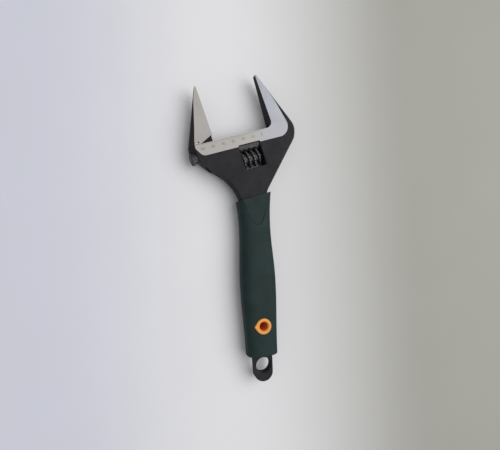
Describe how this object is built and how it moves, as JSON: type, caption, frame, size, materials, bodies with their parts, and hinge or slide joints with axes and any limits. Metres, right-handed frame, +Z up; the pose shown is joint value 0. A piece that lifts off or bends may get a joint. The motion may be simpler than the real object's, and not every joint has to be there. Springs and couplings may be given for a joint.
{
  "type": "adjustable wrench",
  "caption": "Adjustable wrench with long thin tapered jaws, a knurled worm and rack, a ground scale band, a ribless rubber grip with an eyelet, and a hanging eye.",
  "frame": {"origin": "under the middle of the whole wrench, on the surface that it lies on, jaws fully open", "axes": "+X along the handle from the hanging eye to the head, +Y towards the movable jaw's side, +Z up out of the side in view"},
  "size_m": [0.297, 0.1068, 0.0226],
  "materials": {
    "black_steel": "black phosphate on forged steel, ground bright on the pad and jaw faces",
    "ground_steel": "ground flat faces with fine marks, black edges",
    "worm_steel": "blackened, worn bright on the knurled crests",
    "pin_steel": "turned, dark",
    "spring_steel": "drawn wire",
    "green_rubber": "matt moulded",
    "orange_plastic": "moulded"
  },
  "bodies": {
    "frame": {"body": "black_steel", "worm_pin": "pin_steel", "worm_spring": "spring_steel", "grip": "green_rubber", "eyelet_front": "orange_plastic", "eyelet_back": "orange_plastic"},
    "jaw": {"movable_jaw": "ground_steel"},
    "screw": {"worm": "worm_steel"}
  },
  "joints": [
    {"name": "jaw_slide", "type": "slide", "parent": "frame", "child": "jaw", "axis": [0.2639, -0.9646, 0], "range_m": [0, 0.0606]},
    {"name": "worm_spin", "type": "hinge", "parent": "frame", "child": "screw", "pos_m": [0.06566, -0.0052, 0.0113], "axis": [-0.2639, 0.9646, 0], "range_deg": [0, 4201]}
  ],
  "couplings": [
    {"joint": "worm_spin", "follows": "jaw_slide", "rad_per_m": 1208.3}
  ]
}
